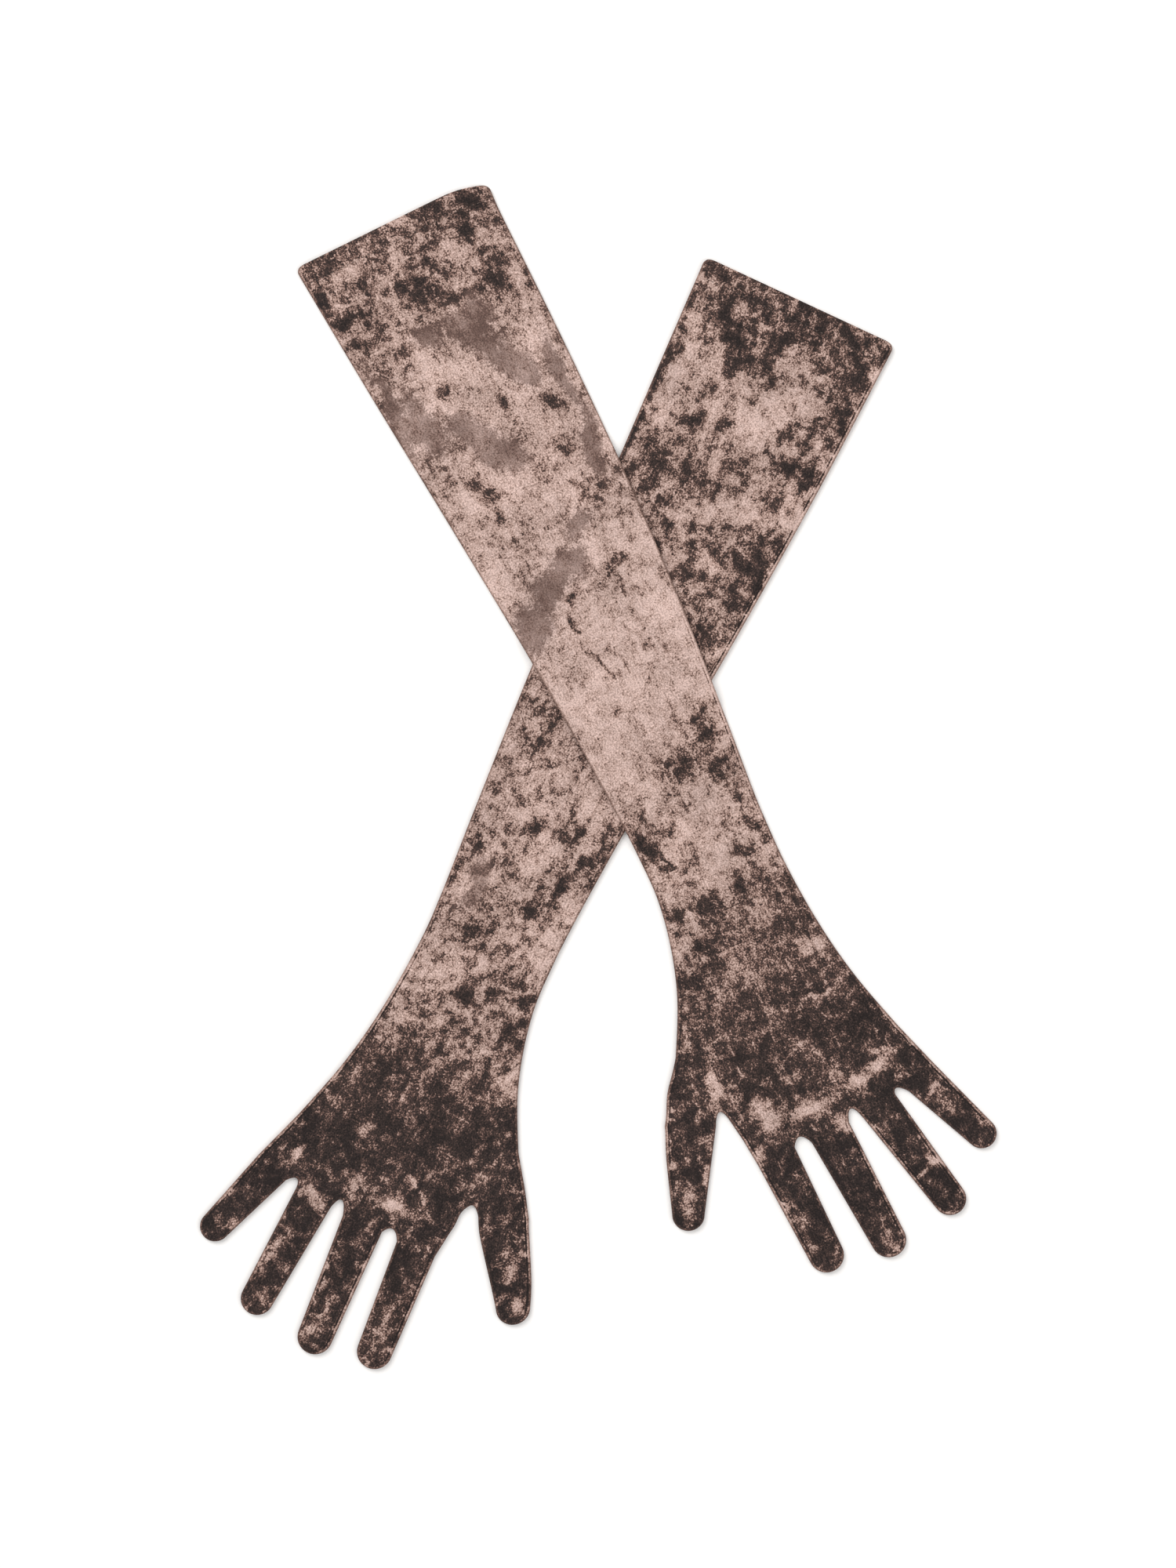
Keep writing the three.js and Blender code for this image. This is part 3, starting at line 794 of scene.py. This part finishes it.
def pile_at(side, u, v, seed):
    """How the pile lies at each point: pressed dark or pale, steamed smooth, mingled."""
    fine_u = u + FINE_WAVER * ripple(u, v, FINE_WAVE, seed + 11)
    fine_v = v + FINE_WAVER * ripple(fine_u, v, FINE_WAVE, seed + 17)
    broad_u = fine_u + BROAD_WAVER * ripple(u, v, BROAD_WAVE, seed + 13)
    broad_v = v + FINE_WAVER * ripple(u, v, FINE_WAVE, seed + 17)
    broad_v = broad_v + BROAD_WAVER * ripple(u, v, BROAD_WAVE, seed + 19)
    steamed = sum(patch(broad_u, broad_v, *where) for where in STEAMED[side])
    mingled = sum(patch(broad_u, broad_v, *where) for where in MINGLED[side])
    levels = np.array(BASE_PILE[side]).T
    pressed = np.interp(fine_u, levels[0], levels[1])
    for *where, strength in PRESSED[side]:
        near = patch(fine_u, fine_v, *where)
        pressed = pressed * (1 - OVERLAID * near) + strength * near
    return pressed, np.clip(steamed, 0, 1), np.clip(mingled, 0, 1)


# %% One panel of cloth
PATTERN_MAP = "pattern"
ROLL_HIGHLIGHT = 1.8  # painted highlight where the cloth rolls over between the seam and the edge: its lean is made paler by this much
ROLL_HIGHLIGHT_ENDS = (2.2, 3.0)  # distances from the edge between which the painted highlight fades
# distances from the edge between which the rim's painted sheen and shade fade out
PAINTED_RIM_ENDS = (0.5, 1.4)
BACK_SHIFT = 700  # the back panels are cut from another length of the same cloth
OTHER = {"left": "right", "right": "left"}


def make_object(bm, name, *materials):
    """Ends a piece: smooth faces, a mesh with its materials, and an object at the origin."""
    for f in bm.faces:
        f.smooth = True
    mesh = bpy.data.meshes.new(name)
    bm.to_mesh(mesh)
    bm.free()
    for material in materials:
        mesh.materials.append(material)
    piece = bpy.data.objects.new(name, mesh)
    scene.collection.objects.link(piece)
    return piece


def thicken(piece, thickness, offset):
    """Gives cloth its thickness: offset -1 is all inwards, 0 half to each side."""
    wall = piece.modifiers.new("cloth", "SOLIDIFY")
    wall.thickness = thickness * MM
    wall.offset = offset
    return wall


def lay_cloth(bm, name, side, face):
    """Lays a flat panel as the palm or the back of a glove, and makes it an object."""
    glove = GLOVES[side]
    seed = glove["seed"]
    flat = np.array([vert.co for vert in bm.verts])
    u, v, turned = flat[:, 0], flat[:, 1], flat[:, 2] / TURNED_APART
    distance = distance_to(OUTLINES[side], u, v)
    x, y = lay(glove, u, v)
    if face == "palm":
        z = palm_height(side, u, v, distance, turned)
    else:
        z = back_height(distance, turned)
    z = z + rise_at(glove, x, y)

    pressed, steamed, mingled = pile_at(side if face == "palm" else OTHER[side], u, v, seed)
    outside = turned < 1
    shown = seam_shown(side, u, v) * outside
    marks = {
        # the lean is made paler along the edge: a painted highlight on the rolled strip
        "pressed": pressed - ROLL_HIGHLIGHT * shown * (1 - smoothstep(distance, *ROLL_HIGHLIGHT_ENDS)),
        "steamed": steamed,
        "mingled": mingled,
        # where the painted shadow of the seam's groove goes
        "seam": seam_dip(distance) * shown,
        # where the rim's painted sheen and shade go
        "rim": (1 - smoothstep(distance, *PAINTED_RIM_ENDS)) * outside,
    }
    along = np.where(turned > 1, -u, u)
    shift = (seed * 100, BACK_SHIFT if face == "back" else 0)
    layers = {key: bm.verts.layers.float.new(key) for key in marks}
    uv_layer = bm.loops.layers.uv.new(PATTERN_MAP)
    for i, vert in enumerate(bm.verts):
        vert.co = Vector((x[i], y[i], z[i])) * MM
        for key, layer in layers.items():
            vert[layer] = marks[key][i]
        for loop in vert.link_loops:
            loop[uv_layer].uv = ((along[i] + shift[0]) * MM, (v[i] + shift[1]) * MM)
    bm.normal_update()
    upwards = sum(f.normal.z * f.calc_area() for f in bm.faces)
    if (upwards > 0) != (face == "palm"):
        bmesh.ops.reverse_faces(bm, faces=bm.faces[:])
    for edge in bm.edges:
        edge.smooth = not edge.is_boundary
    piece = make_object(bm, name)
    wall = thicken(piece, CLOTH, -1)
    wall.material_offset = 1
    wall.material_offset_rim = 1
    return piece


# %% [markdown]
# ## Cloth and thread
#
# Crushed velvet has a rayon or polyester pile on a stretch knit. The pile scatters light, so the cloth
# is rough with hardly any gloss, and the pile's tips catch light at a glancing angle, which is what
# sheen is for. Real pile changes with the eye's place. Colour that did that would be lost when the
# model is exported, so light and dark are fixed here as they are seen from above. The pattern reads
# the cloth's own flat map, so that it stays in the cloth when a glove bends.

# %% Crushed velvet
PILE_TONES = [  # from pile that leans to the light to pile that leans away
    (0.12, "#c0a69d"), (0.32, "#ab9187"), (0.43, "#8f756b"), (0.49, "#664e46"),
    (0.54, "#4c3b36"), (0.62, "#392e2b"), (0.80, "#272120"),
]
PILE_STEAMED = "#67514a"
MEAN_TONE, PRESSED_STEP = 0.43, 0.2  # lean of the plain pile, and what one step of pressing adds
PILE_NOISES = {  # size in mm, detail, distortion, weight
    "clouds": (30, 2, 0, 0.5),
    "blots": (7, 4, 0.45, 1.15),
    "flecks": (2.6, 2, 0, 0.5),
    "streaks": (4, 2, 0, 0.3),  # long marks where the sleeve was drawn through the rollers
    "tufts": (0.9, 1, 0, 0.6),  # real tufts are about half this and are drawn coarser to show
}
STREAK_SQUEEZE = 0.12
MINGLING = 0.35  # share of the blots that mingled pile loses
# how far the rim's painted sheen and shade flip the tone
PAINTED_RIM_FLIP = 0.4
# how dark the painted shadow in the seam's groove is, and the blots that break it up
SEAM_SHADE, SEAM_BREAKS = 0.7, (0.3, 0.46)
STEAM_BORDER = {"blots": 0.9, "flecks": 0.7, "tufts": 0.4}  # how each noise breaks up its border
STEAM_ENDS = (1.14, 1.62)
STEAM_DEPTH = (0.35, 0.65, 0.55, 0.85)  # from clouds between these two to depths between these two
SPARKLE = (0.25, 0.75, 1.38, 0.62)
DRIFT = (0.3, 0.7, 1.1, 0.88)
PILE_BUMP = {"Strength": 0.5, "Distance": 0.3 * MM}


def per(millimetres):
    """Noise scale for a pattern of that size, on coordinates in metres."""
    return 1 / (millimetres * MM)


def make_velvet():
    """Taupe crushed velvet: one lean for every tuft, turned into a tone by a colour ramp."""
    material, tree, shader = new_material("crushed_velvet_taupe")
    place = add(tree, "ShaderNodeUVMap", uv_map=PATTERN_MAP)
    pressed, steamed, mingled, seam, rim = (
        add(tree, "ShaderNodeAttribute", output="Fac", attribute_name=key)
        for key in ("pressed", "steamed", "mingled", "seam", "rim")
    )
    combed = add(tree, "ShaderNodeMapping", {"Vector": place, "Scale": (STREAK_SQUEEZE, 1, 1)})
    noises = {}
    for key, (size, detail, distortion, _) in PILE_NOISES.items():
        inputs = {"Vector": combed if key == "streaks" else place, "Scale": per(size)}
        inputs |= {"Detail": detail, "Roughness": 0.6, "Distortion": distortion}
        noises[key] = add(tree, "ShaderNodeTexNoise", inputs)

    # How far the pile leans away from the light. Each noise wavers round 0.5.
    calm = add(tree, "ShaderNodeMath", {0: mingled, 1: -MINGLING, 2: 1}, operation="MULTIPLY_ADD")
    plain = {0: pressed, 1: PRESSED_STEP, 2: MEAN_TONE}
    lean = add(tree, "ShaderNodeMath", plain, operation="MULTIPLY_ADD")
    for key, (*_, weight) in PILE_NOISES.items():
        swing = add(tree, "ShaderNodeMath", {0: noises[key], 1: 0.5}, operation="SUBTRACT")
        if key == "blots":
            swing = add(tree, "ShaderNodeMath", {0: swing, 1: calm}, operation="MULTIPLY")
        lean = add(tree, "ShaderNodeMath", {0: swing, 1: weight, 2: lean}, operation="MULTIPLY_ADD")

    # Painted sheen and shade at the very edge, where the cloth turns down: dark pile is painted pale
    # there, and pale pile dark.
    turned = add(tree, "ShaderNodeMath", {0: 1.0, 1: lean}, operation="SUBTRACT")
    share = add(tree, "ShaderNodeMath", {0: rim, 1: PAINTED_RIM_FLIP}, operation="MULTIPLY")
    lean = add(tree, "ShaderNodeMix", {0: share, 2: lean, 3: turned})

    # Painted shadow in the seam's groove: a thin dark line, with tufts over it in places.
    breaks = dict(enumerate((noises["blots"], *SEAM_BREAKS)))
    sunk = add(tree, "ShaderNodeMapRange", breaks, interpolation_type="SMOOTHSTEP")
    sunk = add(tree, "ShaderNodeMath", {0: seam, 1: sunk}, operation="MULTIPLY")
    lean = add(tree, "ShaderNodeMath", {0: sunk, 1: SEAM_SHADE, 2: lean}, operation="MULTIPLY_ADD")

    tones = add(tree, "ShaderNodeValToRGB", {0: lean})
    ramp = tones.node.color_ramp
    while len(ramp.elements) < len(PILE_TONES):
        ramp.elements.new(0.5)
    for element, (position, code) in zip(ramp.elements, PILE_TONES):
        element.position = position
        element.color = linear(code)

    # Steamed cloth: the pile lies flat, so the tones even out.
    border = steamed
    for key, weight in STEAM_BORDER.items():
        ragged = {0: noises[key], 1: weight, 2: border}
        border = add(tree, "ShaderNodeMath", ragged, operation="MULTIPLY_ADD")
    ends = dict(enumerate((border, *STEAM_ENDS)))
    flat = add(tree, "ShaderNodeMapRange", ends, interpolation_type="SMOOTHSTEP")
    depth = add(tree, "ShaderNodeMapRange", dict(enumerate((noises["clouds"], *STEAM_DEPTH))))
    flat = add(tree, "ShaderNodeMath", {0: flat, 1: depth}, operation="MULTIPLY")
    evened = {0: flat, 6: tones, 7: linear(PILE_STEAMED)}
    colour = add(tree, "ShaderNodeMix", evened, output=2, data_type="RGBA")

    # Single tufts sparkle or fall into shade.
    sparkle = add(tree, "ShaderNodeMapRange", dict(enumerate((noises["tufts"], *SPARKLE))))
    drift = add(tree, "ShaderNodeMapRange", dict(enumerate((noises["clouds"], *DRIFT))))
    light = add(tree, "ShaderNodeMath", {0: sparkle, 1: drift}, operation="MULTIPLY")
    colour = add(tree, "ShaderNodeVectorMath", {0: colour, 1: light}, operation="MULTIPLY")
    tree.links.new(colour, shader.inputs["Base Color"])

    shader.inputs["Roughness"].default_value = 0.85
    shader.inputs["IOR"].default_value = 1.5
    shader.inputs["Specular IOR Level"].default_value = 0.12
    shader.inputs["Sheen Weight"].default_value = 0.15
    shader.inputs["Sheen Roughness"].default_value = 0.4
    shader.inputs["Sheen Tint"].default_value = linear("#d8bfb6")
    relief = {0: noises["flecks"], 1: 0.8, 2: noises["tufts"]}
    lumps = add(tree, "ShaderNodeMath", relief, operation="MULTIPLY_ADD")
    bump = add(tree, "ShaderNodeBump", {"Height": lumps, **PILE_BUMP})
    tree.links.new(bump, shader.inputs["Normal"])
    return material


velvet = make_velvet()
print("velvet nodes:", len(velvet.node_tree.nodes))


# %% Knit backing and thread
WAVE_RADIANS = 20  # a wave texture of scale 1 runs through this many radians to the metre
KNIT_RADIAN = 1.2  # millimetres to a radian: the bands lie 2 pi times this apart, 7.5 mm
THREAD_RADIAN = 0.6  # the slant spreads these bands further still, to 5.3 mm


def make_knit():
    """Matt stretch knit, with soft ribs that are much wider than real rows of stitches."""
    material, tree, shader = new_material("stretch_knit_backing")
    place = add(tree, "ShaderNodeUVMap", uv_map=PATTERN_MAP)
    ribbing = {"Vector": place, "Scale": per(KNIT_RADIAN) / WAVE_RADIANS, "Distortion": 1.5}
    rows = add(
        tree, "ShaderNodeTexWave", ribbing, output="Fac", wave_type="BANDS", bands_direction="Y",
    )
    colours = {0: rows, 6: linear("#3c322e"), 7: linear("#5b4c46")}
    colour = add(tree, "ShaderNodeMix", colours, output=2, data_type="RGBA")
    tree.links.new(colour, shader.inputs["Base Color"])
    shader.inputs["Roughness"].default_value = 0.9
    bump = add(tree, "ShaderNodeBump", {"Height": rows, "Strength": 0.4, "Distance": 0.1 * MM})
    tree.links.new(bump, shader.inputs["Normal"])
    return material


def make_thread():
    """Polyester sewing thread, slightly glossy. Its bands are longer than a stitch and only shade it."""
    material, tree, shader = new_material("polyester_sewing_thread")
    place = add(tree, "ShaderNodeTexCoord", output="Object")
    slant = {"Vector": place, "Scale": per(THREAD_RADIAN) / WAVE_RADIANS}
    twist = add(
        tree, "ShaderNodeTexWave", slant, output="Fac", wave_type="BANDS", bands_direction="DIAGONAL",
    )
    colours = {0: twist, 6: linear("#382e2a"), 7: linear("#5c4c45")}
    colour = add(tree, "ShaderNodeMix", colours, output=2, data_type="RGBA")
    tree.links.new(colour, shader.inputs["Base Color"])
    shader.inputs["Roughness"].default_value = 0.5
    return material


knit = make_knit()
thread = make_thread()


# %% [markdown]
# ## Sewing the gloves
#
# The sleeve panels, the sleeve's seam allowances and the hem stitches move with the sleeve's body of
# the frame. The hand and finger panels are fixed where they lie and do not bend at the fold lines.

# %% Panels
FACES = ("palm", "back")


def finish_panel(piece, replaced):
    """Gives a panel its pile and its backing, and hides the frame nodes that it stands for."""
    piece.data.materials.append(velvet)
    piece.data.materials.append(knit)
    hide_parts(*replaced)


def bend_wrist(piece):
    """Fixes a piece of the hand where it lies, with its place baked into its mesh; it does not bend."""
    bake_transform(piece)


def flat_size(points):
    """Width, length and area of a panel as it was cut, in metres."""
    across = points[1:, 1:, :2] - points[:-1, :-1, :2]
    other = points[1:, :-1, :2] - points[:-1, 1:, :2]
    area = np.abs(across[..., 0] * other[..., 1] - across[..., 1] * other[..., 0]).sum() / 2
    low, high = points[..., :2].min(axis=(0, 1)), points[..., :2].max(axis=(0, 1))
    return (high[1] - low[1]) * MM, (high[0] - low[0]) * MM, area * MM**2


GRIDS = {}
for side, glove in GLOVES.items():
    GRIDS[side] = {"sleeve": sleeve_grid(glove), "hand": hand_grid(glove)}
    GRIDS[side] |= {name: finger_grid(glove, name) for name in NAMES}

PANELS = {}
for side, glove in GLOVES.items():
    for part, points in GRIDS[side].items():
        for face in FACES:
            piece = lay_cloth(cut_cloth(points), f"{side}_{part}_{face}", side, face)
            replaced = [f"{side}_{part}_{face}_panel"]
            if part == "sleeve":
                replaced.append(f"{side}_cuff_hem_{face}")
            finish_panel(piece, replaced)
            PANELS[piece.name] = piece
            if part == "sleeve":
                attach(piece, f"{side}_sleeve")
            elif part == "hand":
                bend_wrist(piece)
            else:
                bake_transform(piece)
    print(side, "panels:", {part: points.shape[:2] for part, points in GRIDS[side].items()})


# %% [markdown]
# ## Inside the gloves
#
# The panels' edges are overlocked together into a soft allowance 5 mm wide, which lies inside along
# both long edges. Its loops of thread never show, so it is a strip of cloth half way between the two
# panels. The fingers have no strip of their own, only the ridge that it would raise in the panels.

# %% Seam allowances
ALLOWANCE = {"start": 1.5, "width": 5, "thickness": 0.8, "columns": 7, "row": 4}
EDGES = ("thumb_side", "little_side")


def allowance(side, name, start_u, end_u, edge):
    """A strip of seam allowance along one long edge: 0 for the thumb side, 1 for the other."""
    glove = GLOVES[side]
    rows = np.linspace(start_u, end_u, math.ceil((end_u - start_u) / ALLOWANCE["row"]) + 1)
    offsets = ALLOWANCE["start"] + np.linspace(0, ALLOWANCE["width"], ALLOWANCE["columns"])
    inwards = 1 if edge == 0 else -1
    points = [[(u, edges_at(u)[edge] + inwards * offset) for offset in offsets] for u in rows]
    bm = cut_cloth(np.array(points))
    flat = np.array([vert.co for vert in bm.verts])
    u, v = flat[:, 0], flat[:, 1]
    distance = distance_to(OUTLINES[side], u, v)
    upper = palm_height(side, u, v, distance, np.zeros(len(u))) - CLOTH
    lower = back_height(distance, np.zeros(len(u))) + CLOTH
    x, y = lay(glove, u, v)
    z = (upper + lower) / 2 + rise_at(glove, x, y)
    uv_layer = bm.loops.layers.uv.new(PATTERN_MAP)
    for i, vert in enumerate(bm.verts):
        vert.co = Vector((x[i], y[i], z[i])) * MM
        for loop in vert.link_loops:
            loop[uv_layer].uv = (u[i] * MM, v[i] * MM)
    bm.normal_update()
    if sum(f.normal.z for f in bm.faces) < 0:
        bmesh.ops.reverse_faces(bm, faces=bm.faces[:])
    piece = make_object(bm, name, knit)
    thicken(piece, ALLOWANCE["thickness"], 0)
    return piece


for side in GLOVES:
    for edge, label in enumerate(EDGES):
        sleeve_strip = allowance(side, f"{side}_sleeve_allowance_{label}", HEM_DEPTH + 1.5, WRIST, edge)
        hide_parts(f"{side}_sleeve_seam_{label}")
        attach(sleeve_strip, f"{side}_sleeve")
        end_u = THUMB_EDGE_END if edge == 0 else LITTLE_EDGE_END
        hand_strip = allowance(side, f"{side}_hand_allowance_{label}", WRIST, end_u, edge)
        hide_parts(f"{side}_hand_seam_{label}")
        bend_wrist(hand_strip)
        for strip in (sleeve_strip, hand_strip):
            PANELS[strip.name] = strip
print("allowances:", len([name for name in PANELS if "allowance" in name]))

# %% [markdown]
# The hem is held by a row of short stitches, sunk into the pile 10.5 mm from the cuff's edge. A
# twisted thread in and out of the cloth would cost far more than it shows, so each stitch is a small
# round-ended bead, stretched along the row.

# %% Hem stitches
STITCH_PITCH, STITCH_MARGIN = 3.0, 4
STITCH_SIZE = (1.7, 0.5, 0.4)  # along the row, across it, and high
STITCH_LIFT = {"palm": -0.06, "back": 0.16}


def hem_stitches(side):
    """Both rows of stitches of one cuff, and how many there are."""
    glove = GLOVES[side]
    bm = bmesh.new()
    thumb, little = edges_at(HEM_DEPTH)
    row = np.arange(thumb + STITCH_MARGIN, little - STITCH_MARGIN, STITCH_PITCH)
    u = np.full(len(row), HEM_DEPTH)
    distance = distance_to(OUTLINES[side], u, row)
    x, y = lay(glove, u, row)
    heights = {
        "palm": palm_height(side, u, row, distance, np.zeros(len(u))) + rise_at(glove, x, y),
        "back": back_height(distance, np.zeros(len(u))) + rise_at(glove, x, y),
    }
    direction = np.array(lay(glove, HEM_DEPTH, 1.0)) - np.array(lay(glove, HEM_DEPTH, 0.0))
    angle = math.atan2(direction[1], direction[0])
    for face in FACES:
        for i in range(len(row)):
            made = bmesh.ops.create_uvsphere(bm, u_segments=8, v_segments=5, radius=0.5 * MM)
            stitch = made["verts"]
            bmesh.ops.scale(bm, vec=STITCH_SIZE, verts=stitch)
            bmesh.ops.rotate(bm, cent=(0, 0, 0), matrix=Matrix.Rotation(angle, 3, "Z"), verts=stitch)
            lift = heights[face][i] + STITCH_LIFT[face]
            bmesh.ops.translate(bm, vec=Vector((x[i], y[i], lift)) * MM, verts=stitch)
    return make_object(bm, f"{side}_hem_stitches", thread), 2 * len(row)


for side in GLOVES:
    stitches, count = hem_stitches(side)
    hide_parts(f"{side}_cuff_hem_thread")
    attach(stitches, f"{side}_sleeve")
    PANELS[stitches.name] = stitches
    print(side, "hem stitches:", count)

# %% [markdown]
# ## Cut sizes
#
# Each panel lies on the table or on the panel under it. Its flat size, the size that it was cut to,
# is worked out from its own grid and printed.

# %% Cut sizes
for side in GLOVES:
    for part, points in GRIDS[side].items():
        width, length, area = flat_size(points)
        if part == "sleeve":
            length = length + HEM_DEPTH * MM
        for face in FACES:
            inside = []
            if face == "palm" and part in ("sleeve", "hand"):
                inside = [PANELS[f"{side}_{part}_allowance_{edge}"] for edge in EDGES]
            if face == "palm" and part == "sleeve":
                inside.append(PANELS[f"{side}_hem_stitches"])
        print(side, part, "cut:", round(width / MM), "x", round(length / MM), "mm")
